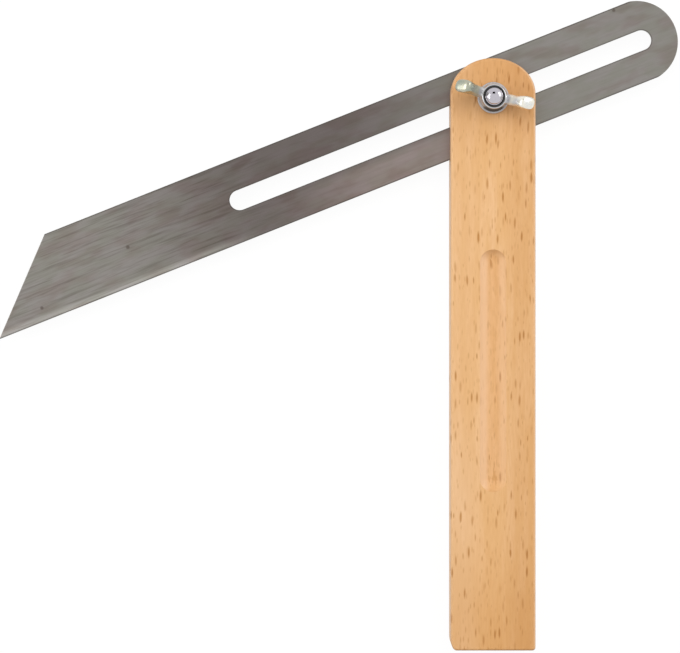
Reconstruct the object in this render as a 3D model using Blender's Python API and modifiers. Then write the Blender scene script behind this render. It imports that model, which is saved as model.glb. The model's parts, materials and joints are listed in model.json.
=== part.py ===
"""Sliding bevel: a kerfed beech stock, a slotted steel blade, a coach bolt, a washer and a wing nut.

The tool lies on its back. +Z points out of the stock's front face, +Y runs along the stock to its rounded
end, and the origin is the centre of the stock's back face. Lengths are in metres and angles in degrees.
"""

import math

import bmesh
import bpy
from mathutils import Matrix, Vector

# Stock: one length of beech, rounded at the pivot end
STOCK_LENGTH = 0.198
STOCK_WIDTH = 0.0284
STOCK_THICKNESS = 0.018
ARCH_RISE = 0.0120
EDGE_ROUND = 0.0008
FOOT_CORNER_WIDTH = 0.0020
FOOT_CORNER_HEIGHT = 0.0040
BUTT_LENGTH = 0.025
PIVOT_FROM_TOP = 0.0134

# Thumb groove milled in the front face with a round-nosed cutter
GROOVE_LENGTH = 0.0810
GROOVE_WIDTH = 0.0088
GROOVE_DEPTH = 0.0016
GROOVE_FROM_TOP = 0.0640

# Blade: ground steel strip, pointed at one end and rounded at the other
BLADE_LENGTH = 0.250
BLADE_WIDTH = 0.0272
BLADE_THICKNESS = 0.0015
POINT_ANGLE = 45.0
ROUND_END_EASE = 0.0006
SLOT_LENGTH = 0.1522
SLOT_FROM_ROUND_END = 0.0088
BOLT_FROM_SLOT_END = 0.0574
BLADE_ANGLE = 21.7

# Coach bolt, M6, with a low domed head and a neck as wide across its flats as the thread's diameter
THREAD_DIAMETER = 0.0060
THREAD_PITCH = 0.0010
THREAD_UNDER_NUT = 0.0043
BOLT_PROTRUSION = 0.0027
BOLT_END_DOME = 0.0012
HEAD_DIAMETER = 0.0155
HEAD_HEIGHT = 0.0037
HEAD_RIM = 0.0008
HEAD_SINK = 0.0006
NECK_CORNER = 0.0005

# Thread form: a metric thread's 30 degree flanks, with its heights as shares of the pitch
FLANK_ANGLE = 30.0
THREAD_DEPTH_SHARE = 0.45
CREST_FLAT_SHARE = 0.125
CREST_CUT_SHARE = 0.10
RIDGE_ROOT_SHARE = 0.15

# Flat washer under the nut
WASHER_RIM = 0.00195
WASHER_THICKNESS = 0.0012
WASHER_EDGE = 0.0001

# Cold-forged wing nut, with its walls measured out from the thread
NUT_BODY_HEIGHT = 0.0068
NUT_FOOT_WALL = 0.00175
NUT_TOP_WALL = 0.0012
NUT_SHOULDER = 0.0008
NUT_COUNTERSINK = 0.0007
WING_SPAN = 0.0274
WING_HEIGHT = 0.0140
WING_TIP_THICKNESS = 0.0042
WING_ANGLE = -14.8

# Clearances
BLADE_CLEARANCE = 0.0003
NECK_CLEARANCE = 0.0004
SEAT_CLEARANCE = 0.0003
BORE_CLEARANCE = 0.0003
HEAD_CLEARANCE = 0.0008
THREAD_CLEARANCE = 0.00015

# How far cutters run past what they cut, and joined shapes into each other
OVERRUN = 0.0020
JOIN_OVERLAP = 0.0004
WELD = 0.00001

# Facet counts, the angle under which faces count as one flat, and the angle past which an edge is sharp
ARCH_FACETS = 32
CORNER_FACETS = 6
ROUND_END_FACETS = 28
SLOT_END_FACETS = 16
ROUND_STEPS = 40
THREAD_STEPS = 24
GROOVE_STEPS = 72
DOME_FACETS = 6
EDGE_SEGMENTS = 3
WING_LEVELS = 1
FLAT_ANGLE = 1.0
SHARP_ANGLE = 35.0

# The ear's stations, from its root inside the nut's body to its tip. Each row holds shares of the half
# span and of the wing's height for the ear's centre line, then a share of the height for half the ear's
# width, and a share of the tip's thickness for its thickness there.
WING_STATION_SHARES = (
    (0.20, 0.235, 0.200, 0.62),
    (0.36, 0.275, 0.185, 0.50),
    (0.50, 0.370, 0.175, 0.46),
    (0.63, 0.500, 0.190, 0.55),
    (0.75, 0.640, 0.215, 0.85),
    (0.85, 0.770, 0.205, 1.00),
    (0.92, 0.870, 0.125, 0.75),
)

# One section of the ear, going round: shares of half its width and of half its thickness
EAR_SECTION_SHARES = (
    (1.0, 0.5),
    (0.7, 1.0),
    (-0.7, 1.0),
    (-1.0, 0.5),
    (-1.0, -0.5),
    (-0.7, -1.0),
    (0.7, -1.0),
    (1.0, -0.5),
)

# Fits across the tool: the neck in the blade's slot, the thread in the nut, the blade in the kerf
thread_radius = THREAD_DIAMETER / 2
thread_depth = THREAD_PITCH * THREAD_DEPTH_SHARE
crest_cut = THREAD_PITCH * CREST_CUT_SHARE
crest_radius = thread_radius - crest_cut
root_radius = crest_radius - thread_depth
nut_core_radius = root_radius + crest_cut + THREAD_CLEARANCE
bore_radius = thread_radius + BORE_CLEARANCE
neck_width = THREAD_DIAMETER
slot_width = neck_width + 2 * NECK_CLEARANCE
kerf_width = BLADE_THICKNESS + 2 * BLADE_CLEARANCE

# Places up through the thickness, from the stock's back face
pivot_y = STOCK_LENGTH / 2 - PIVOT_FROM_TOP
blade_middle = STOCK_THICKNESS / 2
blade_front = blade_middle + BLADE_THICKNESS / 2
head_seat = HEAD_SINK + HEAD_HEIGHT
washer_base = STOCK_THICKNESS + SEAT_CLEARANCE
nut_base = washer_base + WASHER_THICKNESS + SEAT_CLEARANCE
nut_top = nut_base + NUT_BODY_HEIGHT
bolt_end = nut_top + BOLT_PROTRUSION
thread_start = nut_base - THREAD_UNDER_NUT

# A turned core is rolled by half a step against its thread, so that no edges of the two coincide
half_thread_step = math.pi / THREAD_STEPS


def clear_scene():
    for obj in list(bpy.data.objects):
        bpy.data.objects.remove(obj, do_unlink=True)


def new_collection(name):
    made = bpy.data.collections.new(name)
    bpy.context.scene.collection.children.link(made)
    return made


clear_scene()
bevel_parts = new_collection("sliding_bevel")
cutters = new_collection("cutters")


def finish_material(name, colour, roughness, metallic):
    """A Principled material with one colour, given as linear red, green and blue."""
    made = bpy.data.materials.new(name)
    made.use_nodes = True
    shader = made.node_tree.nodes["Principled BSDF"]
    shader.inputs["Base Color"].default_value = (*colour, 1.0)
    shader.inputs["Roughness"].default_value = roughness
    shader.inputs["Metallic"].default_value = metallic
    return made


def mesh_object(name, bm, collection):
    mesh = bpy.data.meshes.new(name)
    bm.to_mesh(mesh)
    bm.free()
    obj = bpy.data.objects.new(name, mesh)
    collection.objects.link(obj)
    return obj


def as_helper(obj):
    """Keeps a cutter, or a shape that is joined to another, out of the finished part."""
    for owner in list(obj.users_collection):
        owner.objects.unlink(obj)
    cutters.objects.link(obj)
    obj.hide_render = True
    obj.display_type = "WIRE"
    return obj


def boolean(obj, other, operation):
    step = obj.modifiers.new(f"{operation.lower()}_{other.name}", "BOOLEAN")
    step.object = other
    step.operation = operation
    step.solver = "EXACT"


def turned(name, profile, steps):
    """A closed turned shape about Z: the profile holds (radius, height) points from its top to its bottom."""
    bm = bmesh.new()
    points = [bm.verts.new((radius, 0, height)) for radius, height in profile]
    for upper, lower in zip(points, points[1:]):
        bm.edges.new((upper, lower))
    obj = mesh_object(name, bm, bevel_parts)
    spin = obj.modifiers.new("turn", "SCREW")
    spin.axis = "Z"
    spin.angle = math.tau
    spin.steps = steps
    spin.render_steps = steps
    spin.use_merge_vertices = True
    spin.merge_threshold = WELD
    spin.use_smooth_shade = True
    return obj


def block(name, low, high):
    """An upright box between two corners."""
    bm = bmesh.new()
    bmesh.ops.create_cube(bm, size=1)
    size = Vector(high) - Vector(low)
    middle = (Vector(high) + Vector(low)) / 2
    bmesh.ops.scale(bm, vec=size, verts=bm.verts)
    bmesh.ops.translate(bm, vec=middle, verts=bm.verts)
    return mesh_object(name, bm, bevel_parts)


def arc(centre, radii, first, last, facets):
    """Points on an ellipse's arc from angle first to angle last, in radians."""
    angles = [first + (last - first) * i / facets for i in range(facets + 1)]
    return [(centre[0] + radii[0] * math.cos(a), centre[1] + radii[1] * math.sin(a)) for a in angles]


def flat_outline(name, loops, thickness):
    """A flat 2D curve, filled between its loops and as thick as given, about its own mid-plane."""
    curve = bpy.data.curves.new(name, "CURVE")
    curve.dimensions = "2D"
    curve.fill_mode = "BOTH"
    curve.extrude = thickness / 2
    for loop in loops:
        spline = curve.splines.new("POLY")
        spline.points.add(len(loop) - 1)
        for point, (x, y) in zip(spline.points, loop):
            point.co = (x, y, 0, 1)
        spline.use_cyclic_u = True
    obj = bpy.data.objects.new(name, curve)
    bevel_parts.objects.link(obj)
    return obj


def evaluated_mesh(obj):
    """The object's mesh as its modifiers, or its curve settings, leave it."""
    bpy.context.view_layer.update()
    graph = bpy.context.evaluated_depsgraph_get()
    return bpy.data.meshes.new_from_object(obj.evaluated_get(graph))


def curve_to_mesh(obj):
    """Makes a curve a welded mesh with the same name and place, so that Bevel and Boolean can work on it."""
    mesh = evaluated_mesh(obj)
    place = obj.matrix_world.copy()
    name = obj.name
    bpy.data.objects.remove(obj, do_unlink=True)
    bm = bmesh.new()
    bm.from_mesh(mesh)
    bpy.data.meshes.remove(mesh)
    bmesh.ops.remove_doubles(bm, verts=bm.verts, dist=WELD)
    bmesh.ops.recalc_face_normals(bm, faces=bm.faces)
    made = mesh_object(name, bm, bevel_parts)
    made.matrix_world = place
    return made


def dissolve_flats(obj):
    """Joins the triangles of each flat face, so that only real edges are left for Bevel."""
    bm = bmesh.new()
    bm.from_mesh(obj.data)
    bmesh.ops.dissolve_limit(bm, angle_limit=math.radians(FLAT_ANGLE), verts=bm.verts, edges=bm.edges)
    bm.to_mesh(obj.data)
    bm.free()


def round_edges(obj, width, segments, limit_degrees):
    bevel = obj.modifiers.new("rounded_edges", "BEVEL")
    bevel.width = width
    bevel.segments = segments
    bevel.limit_method = "ANGLE"
    bevel.angle_limit = math.radians(limit_degrees)


def stock_outline():
    """The stock seen from the front: a flattened arch over straight sides, with a worn left foot corner."""
    half_width, half_length = STOCK_WIDTH / 2, STOCK_LENGTH / 2
    arch = arc((0, half_length - ARCH_RISE), (half_width, ARCH_RISE), 0, math.pi, ARCH_FACETS)
    foot_centre = (FOOT_CORNER_WIDTH - half_width, FOOT_CORNER_HEIGHT - half_length)
    foot_radii = (FOOT_CORNER_WIDTH, FOOT_CORNER_HEIGHT)
    worn_corner = arc(foot_centre, foot_radii, math.pi, math.pi * 3 / 2, CORNER_FACETS)
    return [*arch, *worn_corner, (half_width, -half_length)]


def kerf_cutter():
    """The saw kerf that takes the blade: open at the top end and at both sides, closed by the butt."""
    low = (-STOCK_WIDTH / 2 - OVERRUN, BUTT_LENGTH - STOCK_LENGTH / 2, blade_middle - kerf_width / 2)
    high = (STOCK_WIDTH / 2 + OVERRUN, STOCK_LENGTH / 2 + OVERRUN, blade_middle + kerf_width / 2)
    return as_helper(block("kerf_cutter", low, high))


def bolt_passage_cutter():
    """One stepped hole: the head's counterbore, the round hole that the neck turns in, then the bore."""
    neck_hole = math.hypot(neck_width, neck_width) / 2 + BORE_CLEARANCE
    counterbore = HEAD_DIAMETER / 2 + HEAD_CLEARANCE
    floor = head_seat + SEAT_CLEARANCE
    profile = [
        (0, STOCK_THICKNESS + OVERRUN),
        (bore_radius, STOCK_THICKNESS + OVERRUN),
        (bore_radius, blade_middle),
        (neck_hole, blade_middle),
        (neck_hole, floor),
        (counterbore, floor),
        (counterbore, -OVERRUN),
        (0, -OVERRUN),
    ]
    cutter = as_helper(turned("bolt_passage_cutter", profile, ROUND_STEPS))
    cutter.location = (0, pivot_y, 0)
    return cutter


def groove_cutter():
    """A capsule lying along the stock: its belly sinks into the front face by the groove's depth."""
    radius = (GROOVE_WIDTH**2 / 4 + GROOVE_DEPTH**2) / (2 * GROOVE_DEPTH)
    half_straight = (GROOVE_LENGTH - GROOVE_WIDTH) / 2
    top_cap = [(r, half_straight + h) for h, r in arc((0, 0), (radius, radius), 0, math.pi / 2, ROUND_STEPS)]
    bottom_cap = [(r, -h) for r, h in reversed(top_cap)]
    cutter = as_helper(turned("groove_cutter", [*top_cap, *bottom_cap], GROOVE_STEPS))
    middle = STOCK_LENGTH / 2 - GROOVE_FROM_TOP - GROOVE_LENGTH / 2
    cutter.location = (0, middle, STOCK_THICKNESS - GROOVE_DEPTH + radius)
    cutter.rotation_euler = (-math.pi / 2, 0, 0)
    return cutter


def make_stock():
    stock = curve_to_mesh(flat_outline("stock", [stock_outline()], STOCK_THICKNESS))
    dissolve_flats(stock)
    stock.data.transform(Matrix.Translation((0, 0, STOCK_THICKNESS / 2)))
    round_edges(stock, EDGE_ROUND, EDGE_SEGMENTS, SHARP_ANGLE)
    for cutter in (kerf_cutter(), bolt_passage_cutter(), groove_cutter()):
        boolean(stock, cutter, "DIFFERENCE")
    return stock


def make_blade():
    """The blade about the bolt's axis, its length along X, with the point at its low end."""
    half_width = BLADE_WIDTH / 2
    end_radius = half_width + ROUND_END_EASE
    round_end = BOLT_FROM_SLOT_END + SLOT_FROM_ROUND_END
    point = round_end - BLADE_LENGTH
    shoulder = point + BLADE_WIDTH / math.tan(math.radians(POINT_ANGLE))
    sweep = math.asin(half_width / end_radius)
    outside = [
        (shoulder, half_width),
        (point, -half_width),
        *arc((round_end - end_radius, 0), (end_radius, end_radius), -sweep, sweep, ROUND_END_FACETS),
    ]
    slot_radius = slot_width / 2
    near = BOLT_FROM_SLOT_END - slot_radius
    far = BOLT_FROM_SLOT_END - SLOT_LENGTH + slot_radius
    slot_radii = (slot_radius, slot_radius)
    slot = [
        *arc((near, 0), slot_radii, -math.pi / 2, math.pi / 2, SLOT_END_FACETS),
        *arc((far, 0), slot_radii, math.pi / 2, math.pi * 3 / 2, SLOT_END_FACETS),
    ]
    blade = curve_to_mesh(flat_outline("blade", [outside, slot], BLADE_THICKNESS))
    blade.location = (0, 0, blade_middle)
    blade.rotation_euler = (0, 0, math.radians(BLADE_ANGLE))
    return blade


def thread_ridge(name, grow, root, low, high):
    """One helical ridge of the metric form, from height low to high, grown alike on its crest and flanks.

    Every ridge lies on one helix, counted from height zero, so the nut's groove is in mesh with the bolt.
    """
    flank = math.radians(FLANK_ANGLE)
    crest = crest_radius + grow
    half_crest = THREAD_PITCH * CREST_FLAT_SHARE / 2 + grow / math.cos(flank) - grow * math.tan(flank)
    half_root = half_crest + (crest - root) * math.tan(flank)
    first_turn = math.ceil(low / THREAD_PITCH)
    turns = math.floor(high / THREAD_PITCH) - first_turn
    middle = first_turn * THREAD_PITCH
    corners = ((root, -half_root), (crest, -half_crest), (crest, half_crest), (root, half_root))
    bm = bmesh.new()
    section = bm.faces.new([bm.verts.new((radius, 0, middle + height)) for radius, height in corners])
    bmesh.ops.spin(
        bm,
        geom=[section, *section.edges, *section.verts],
        cent=(0, 0, 0),
        axis=(0, 0, 1),
        dvec=(0, 0, THREAD_PITCH / THREAD_STEPS),
        angle=math.tau * turns,
        steps=THREAD_STEPS * turns,
    )
    bmesh.ops.recalc_face_normals(bm, faces=bm.faces)
    ridge = as_helper(mesh_object(name, bm, bevel_parts))
    ridge.location = (0, pivot_y, 0)
    return ridge


def square_neck():
    """The neck under the head, reaching through the rear cheek and the blade's slot."""
    half = neck_width / 2
    low = (-half, -half, head_seat - JOIN_OVERLAP)
    neck = as_helper(block("square_neck", low, (half, half, blade_front)))
    round_edges(neck, NECK_CORNER, EDGE_SEGMENTS, SHARP_ANGLE)
    neck.location = (0, pivot_y, 0)
    neck.rotation_euler = (0, 0, math.radians(BLADE_ANGLE))
    return neck


def make_clamp_bolt():
    """The bolt from its domed end down to its low domed head, with the neck and the thread joined on."""
    dome_base = bolt_end - BOLT_END_DOME
    end_arc = arc((dome_base, 0), (BOLT_END_DOME, root_radius), 0, math.pi / 2, DOME_FACETS)
    end_dome = [(r, h) for h, r in end_arc]
    crown = HEAD_HEIGHT - HEAD_RIM
    head_arc = arc((0, HEAD_SINK + crown), (HEAD_DIAMETER / 2, -crown), 0, math.pi / 2, DOME_FACETS)
    profile = [
        *end_dome,
        (root_radius, thread_start),
        (thread_radius, thread_start - thread_depth),
        (thread_radius, head_seat),
        (HEAD_DIAMETER / 2, head_seat),
        *head_arc,
    ]
    bolt = turned("clamp_bolt", profile, THREAD_STEPS)
    bolt.rotation_euler = (0, 0, half_thread_step)
    root = root_radius - THREAD_PITCH * RIDGE_ROOT_SHARE
    thread = thread_ridge("bolt_thread", 0, root, thread_start, dome_base)
    for joined in (square_neck(), thread):
        boolean(bolt, joined, "UNION")
    return bolt


def make_washer():
    inner, outer = bore_radius, bore_radius + WASHER_RIM
    top = washer_base + WASHER_THICKNESS
    profile = [
        (inner, top),
        (outer - WASHER_EDGE, top),
        (outer, top - WASHER_EDGE),
        (outer, washer_base + WASHER_EDGE),
        (outer - WASHER_EDGE, washer_base),
        (inner, washer_base),
        (inner, top),
    ]
    return turned("washer", profile, ROUND_STEPS)


def wing_cage(name, side):
    """One ear of the nut as a coarse cage of eight-sided sections, each square to the ear's centre line."""
    half_span = side * WING_SPAN / 2
    line = []
    for reach, height, _, _ in WING_STATION_SHARES:
        line.append(Vector((reach * half_span, 0, nut_base + height * WING_HEIGHT)))
    last = len(line) - 1
    bm = bmesh.new()
    rings = []
    for i, (centre, (_, _, half_width, thickness)) in enumerate(zip(line, WING_STATION_SHARES)):
        along = (line[min(i + 1, last)] - line[max(i - 1, 0)]).normalized()
        across = Vector((-along.z, 0, along.x)) * half_width * WING_HEIGHT
        through = Vector((0, thickness * WING_TIP_THICKNESS / 2, 0))
        rings.append([bm.verts.new(centre + a * across + t * through) for a, t in EAR_SECTION_SHARES])
    for near, far in zip(rings, rings[1:]):
        for k in range(len(near)):
            after = (k + 1) % len(near)
            bm.faces.new((near[k], near[after], far[after], far[k]))
    bm.faces.new(rings[0])
    bm.faces.new(rings[-1])
    bmesh.ops.recalc_face_normals(bm, faces=bm.faces)
    wing = as_helper(mesh_object(name, bm, bevel_parts))
    wing.location = (0, pivot_y, 0)
    wing.rotation_euler = (0, 0, math.radians(WING_ANGLE))
    soft = wing.modifiers.new("rounded_ear", "SUBSURF")
    soft.levels = WING_LEVELS
    soft.render_levels = WING_LEVELS
    return wing


def nut_bore_cutter():
    """The nut's core hole with a countersunk mouth at each end."""
    mouth = nut_core_radius + NUT_COUNTERSINK
    profile = [
        (0, nut_top + OVERRUN),
        (mouth + OVERRUN, nut_top + OVERRUN),
        (mouth, nut_top),
        (nut_core_radius, nut_top - NUT_COUNTERSINK),
        (nut_core_radius, nut_base + NUT_COUNTERSINK),
        (mouth, nut_base),
        (mouth + OVERRUN, nut_base - OVERRUN),
        (0, nut_base - OVERRUN),
    ]
    cutter = as_helper(turned("nut_bore_cutter", profile, THREAD_STEPS))
    cutter.location = (0, pivot_y, 0)
    cutter.rotation_euler = (0, 0, half_thread_step)
    return cutter


def make_wing_nut():
    """A tapered round body with two ears, bored and threaded."""
    foot_radius, top_radius = thread_radius + NUT_FOOT_WALL, thread_radius + NUT_TOP_WALL
    shoulder_centre = (nut_top - NUT_SHOULDER, top_radius - NUT_SHOULDER)
    shoulder = arc(shoulder_centre, (NUT_SHOULDER, NUT_SHOULDER), 0, math.pi / 2, DOME_FACETS)
    profile = [(0, nut_top), *((r, h) for h, r in shoulder), (foot_radius, nut_base), (0, nut_base)]
    nut = turned("wing_nut", profile, ROUND_STEPS)
    for name, side in (("right_wing", 1), ("left_wing", -1)):
        boolean(nut, wing_cage(name, side), "UNION")
    boolean(nut, nut_bore_cutter(), "DIFFERENCE")
    root = nut_core_radius - THREAD_PITCH * RIDGE_ROOT_SHARE
    low, high = nut_base - OVERRUN, nut_top + OVERRUN
    thread = thread_ridge("nut_thread_cutter", THREAD_CLEARANCE, root, low, high)
    boolean(nut, thread, "DIFFERENCE")
    return nut


def finish(obj, material):
    """Keeps the mesh that the modifiers make, in one material, smooth between its sharp edges."""
    mesh = evaluated_mesh(obj)
    obj.modifiers.clear()
    obj.data = mesh
    mesh.materials.clear()
    mesh.materials.append(material)
    mesh.shade_smooth()
    mesh.set_sharp_from_angle(angle=math.radians(SHARP_ANGLE))


beech = finish_material("beech", (0.76, 0.47, 0.22), 0.55, 0)
ground_steel = finish_material("ground_steel", (0.23, 0.21, 0.20), 0.4, 1)
bright_zinc = finish_material("bright_zinc", (0.62, 0.62, 0.58), 0.3, 1)
polished_steel = finish_material("polished_steel", (0.72, 0.72, 0.74), 0.15, 1)

pivot = bpy.data.objects.new("pivot_axis", None)
bevel_parts.objects.link(pivot)
pivot.location = (0, pivot_y, 0)

finish(make_stock(), beech)
for piece, material in (
    (make_blade(), ground_steel),
    (make_clamp_bolt(), polished_steel),
    (make_washer(), bright_zinc),
    (make_wing_nut(), bright_zinc),
):
    piece.parent = pivot
    finish(piece, material)
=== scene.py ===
"""Looks for a sliding bevel: a beech stock, a ground steel blade, and a plated bolt, washer and wing nut.

Lengths are in metres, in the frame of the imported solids: +Z points out of the stock's front face, +Y runs
along the stock to its rounded end, and the origin is the middle of the stock's flat back.
"""

import json
import math

import bmesh
import bpy
import numpy as np
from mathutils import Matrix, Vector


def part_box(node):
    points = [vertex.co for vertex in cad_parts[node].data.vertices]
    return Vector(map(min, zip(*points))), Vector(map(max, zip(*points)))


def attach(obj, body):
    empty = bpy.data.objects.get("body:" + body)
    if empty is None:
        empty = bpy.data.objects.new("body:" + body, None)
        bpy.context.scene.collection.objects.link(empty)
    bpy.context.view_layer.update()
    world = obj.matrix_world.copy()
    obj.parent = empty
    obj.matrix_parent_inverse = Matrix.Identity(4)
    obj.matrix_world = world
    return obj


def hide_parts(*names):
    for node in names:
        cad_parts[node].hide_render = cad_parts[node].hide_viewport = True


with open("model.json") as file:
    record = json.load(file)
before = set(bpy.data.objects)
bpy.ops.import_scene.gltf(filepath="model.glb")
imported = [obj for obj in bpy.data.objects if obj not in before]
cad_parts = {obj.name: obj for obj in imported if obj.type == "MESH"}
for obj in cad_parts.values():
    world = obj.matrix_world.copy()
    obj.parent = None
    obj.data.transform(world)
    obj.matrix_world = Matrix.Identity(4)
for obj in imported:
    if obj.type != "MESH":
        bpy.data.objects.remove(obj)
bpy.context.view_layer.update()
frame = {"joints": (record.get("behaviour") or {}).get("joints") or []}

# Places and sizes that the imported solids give
stock_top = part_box("stock")[1]
half_width, half_length, thickness = stock_top
washer_low, washer_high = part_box("washer")
bolt_low, bolt_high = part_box("clamp_bolt")
nut_low, nut_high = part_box("wing_nut")
joints = {joint["name"]: joint for joint in frame["joints"]}
pivot = np.array(joints["blade_swing"]["pos_m"])
slide = joints["blade_slide"]["axis"]
blade_turn = math.atan2(slide[1], slide[0])
blade_middle = pivot[2]

# Stock
ARCH_RISE = 0.0120
ARRIS = 0.0008
ARRIS_GUARD = 0.00015
FOOT_CORNER_WIDTH = 0.0020
FOOT_CORNER_HEIGHT = 0.0040
BUTT_LENGTH = 0.025
KERF_WIDTH = 0.0021
KERF_EASE = 0.00025
GROOVE_LENGTH = 0.0810
GROOVE_WIDTH = 0.0088
GROOVE_DEPTH = 0.0016
GROOVE_FROM_TOP = 0.0640
HEAD_HOLE = 0.00855
NECK_HOLE = 0.00454
BOLT_HOLE = 0.0033
HEAD_FLOOR = 0.0046
HOLE_EASE = 0.0003
OVERRUN = 0.0020

# Blade, about the bolt's axis with its length along X
BLADE_LENGTH = 0.250
BLADE_WIDTH = 0.0272
BLADE_THICKNESS = 0.0015
POINT_ANGLE = 45.0
ROUND_END_EASE = 0.0002
SLOT_LENGTH = 0.1522
SLOT_WIDTH = 0.0068
SLOT_FROM_ROUND_END = 0.0088
BOLT_FROM_SLOT_END = 0.0574
BLADE_EDGE = 0.00012

# Coach bolt
THREAD_PITCH = 0.0010
CREST_RADIUS = 0.0029
SHANK_RADIUS = 0.0030
HEAD_RADIUS = 0.00775
HEAD_CROWN = 0.0029
HEAD_RIM = 0.0008
HEAD_SOFT = 0.00025
NECK_FOOT = 0.0042
NECK_TOP = 0.00975
THREAD_START = 0.0155
END_DOME = 0.0013
END_RADIUS = 0.00265
NECK_POWER = 8

# Thread form as shares of the pitch: half the flat of a crest, the run of a flank, and the depth
CREST_SHARE = 0.0625
FLANK_SHARE = 0.26
DEPTH_SHARE = 0.45

# Washer and wing nut
WASHER_BORE = 0.0033
WASHER_SOFT = 0.00025
NUT_HEIGHT = 0.0068
NUT_FOOT_RADIUS = 0.00475
NUT_TOP_RADIUS = 0.0042
NUT_SHOULDER = 0.0008
NUT_CORE = 0.0027
NUT_MOUTH = 0.0035
WING_SPAN = 0.0256
WING_HEIGHT = 0.0140
WING_THICKNESS = 0.0046
WING_ANGLE = -14.8
WING_LEAN = 0.0012
WING_OFFSET = 0.0004
FORGING_GRAIN = 0.00014
FORGING_SOFTNESS = 0.5
FORGING_ROUNDS = 14
EAR_LEVELS = 3

# The ear from root to tip: shares of the half span and of the wing's height for its centre line, of the
# height for half its width, and of its thickness
WING_STATION_SHARES = (
    (0.20, 0.235, 0.200, 0.85),
    (0.36, 0.275, 0.185, 0.78),
    (0.50, 0.370, 0.175, 0.76),
    (0.62, 0.500, 0.190, 0.80),
    (0.73, 0.640, 0.215, 0.90),
    (0.83, 0.770, 0.215, 0.98),
    (0.91, 0.880, 0.195, 0.95),
)

# One section of the ear, going round: shares of half its width and of half its thickness
EAR_SECTION_SHARES = (
    (1.0, 0.5),
    (0.7, 1.0),
    (-0.7, 1.0),
    (-1.0, 0.5),
    (-1.0, -0.5),
    (-0.7, -1.0),
    (0.7, -1.0),
    (1.0, -0.5),
)

# Counts of steps: of small roundings and of whole turns, then of the stock, the blade and the hardware.
# The blade's point has three counts, for the side before its slanted end, that end, and the side after it
ROUND_STEPS = 7
TURN_STEPS = 96
ARCH_STEPS = 96
KERF_STEPS = 40
CORNER_STEPS = 8
WORN_STEPS = 14
GROOVE_END_STEPS = 40
GROOVE_TURN_STEPS = 180
BLADE_END_STEPS = 72
BLADE_SIDE_STEPS = 40
BLADE_POINT_STEPS = (20, 20, 24)
BLADE_EDGE_STEPS = 4
CROWN_STEPS = 16
RIM_STEPS = 5
NECK_STEPS = 6
STEPS_TO_A_PITCH = 18
DOME_STEPS = 18
BOLT_TURN_STEPS = 120
WASHER_CORNER_STEPS = 6
BORE_STEPS = 190

# The distance under which points are one, and the angle past which an edge is sharp
WELD = 0.000001
SHARP_ANGLE = 28.0

quarter = math.pi / 2


def arc(centre, radii, first, last, count, whole=False):
    """Points on an ellipse: the centre plus its radii times the cosine and the sine of an even angle."""
    angle = np.linspace(first, last, count, endpoint=whole)
    return np.stack([centre[0] + radii[0] * np.cos(angle), centre[1] + radii[1] * np.sin(angle)], 1)


def run(start, end, count):
    """Even points on a straight line from start to just before end."""
    share = np.linspace(0, 1, count, endpoint=False)[:, None]
    return (1 - share) * np.array(start) + share * np.array(end)


def inward(loop):
    """How each point of an anticlockwise loop moves when every side moves in by one: the sum of the unit
    normals of its two sides, over one plus their dot product."""
    side = np.roll(loop, -1, 0) - loop
    normal = np.stack([-side[:, 1], side[:, 0]], 1) / np.linalg.norm(side, axis=1, keepdims=True)
    before = np.roll(normal, 1, 0)
    return (normal + before) / (1 + (normal * before).sum(1, keepdims=True))


def at_height(flat, height):
    """Flat points, one row of them, lifted to a height or to one height each."""
    return np.concatenate([flat, np.broadcast_to(height, flat.shape[:-1])[..., None]], -1)


def surface(name, points, ring=True, loop=False):
    """A closed mesh from a grid of points: quads between neighbours, the first and last rows joined for a
    ring and the first and last columns for a loop, poles welded, holes filled and faces turned out."""
    index = np.arange(points.shape[0] * points.shape[1]).reshape(points.shape[:2])
    if ring:
        index = np.concatenate([index, index[:1]])
    if loop:
        index = np.concatenate([index, index[:, :1]], 1)
    quads = np.stack([index[:-1, :-1], index[1:, :-1], index[1:, 1:], index[:-1, 1:]], -1)
    mesh = bpy.data.meshes.new(name)
    mesh.from_pydata(points.reshape(-1, 3).tolist(), [], quads.reshape(-1, 4).tolist())
    bm = bmesh.new()
    bm.from_mesh(mesh)
    bmesh.ops.remove_doubles(bm, verts=bm.verts, dist=WELD)
    bmesh.ops.holes_fill(bm, edges=[edge for edge in bm.edges if edge.is_boundary])
    bmesh.ops.recalc_face_normals(bm, faces=bm.faces)
    bm.to_mesh(mesh)
    bm.free()
    made = bpy.data.objects.new(name, mesh)
    bpy.context.scene.collection.objects.link(made)
    return made


def turned(radius, height, count=TURN_STEPS):
    """A profile carried round the bolt's axis: radius times the cosine and the sine of an even angle."""
    angle = np.linspace(0, math.tau, count, endpoint=False)[:, None]
    reach = np.array(radius, float)[None, :]
    x, y = reach * np.cos(angle), pivot[1] + reach * np.sin(angle)
    return np.stack([x, y, np.broadcast_to(np.array(height, float), x.shape)], -1)


def apply_modifiers(piece):
    """Keeps the mesh that the piece's modifiers make."""
    bpy.context.view_layer.update()
    graph = bpy.context.evaluated_depsgraph_get()
    made = bpy.data.meshes.new_from_object(piece.evaluated_get(graph))
    piece.modifiers.clear()
    piece.data = made


def combine(piece, tool, operation):
    """Cuts a closed tool out of a piece, or joins it on, and removes the tool."""
    step = piece.modifiers.new(operation.lower(), "BOOLEAN")
    step.object = tool
    step.operation = operation
    step.solver = "EXACT"
    apply_modifiers(piece)
    bpy.data.objects.remove(tool)


def dress(piece, body, node, material):
    """Shades a finished piece smooth between its sharp edges and puts it in its node's place."""
    piece.data.shade_smooth()
    piece.data.set_sharp_from_angle(angle=math.radians(SHARP_ANGLE))
    piece.data.materials.clear()
    piece.data.materials.append(material)
    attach(piece, body)
    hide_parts(node)


# Stock


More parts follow.
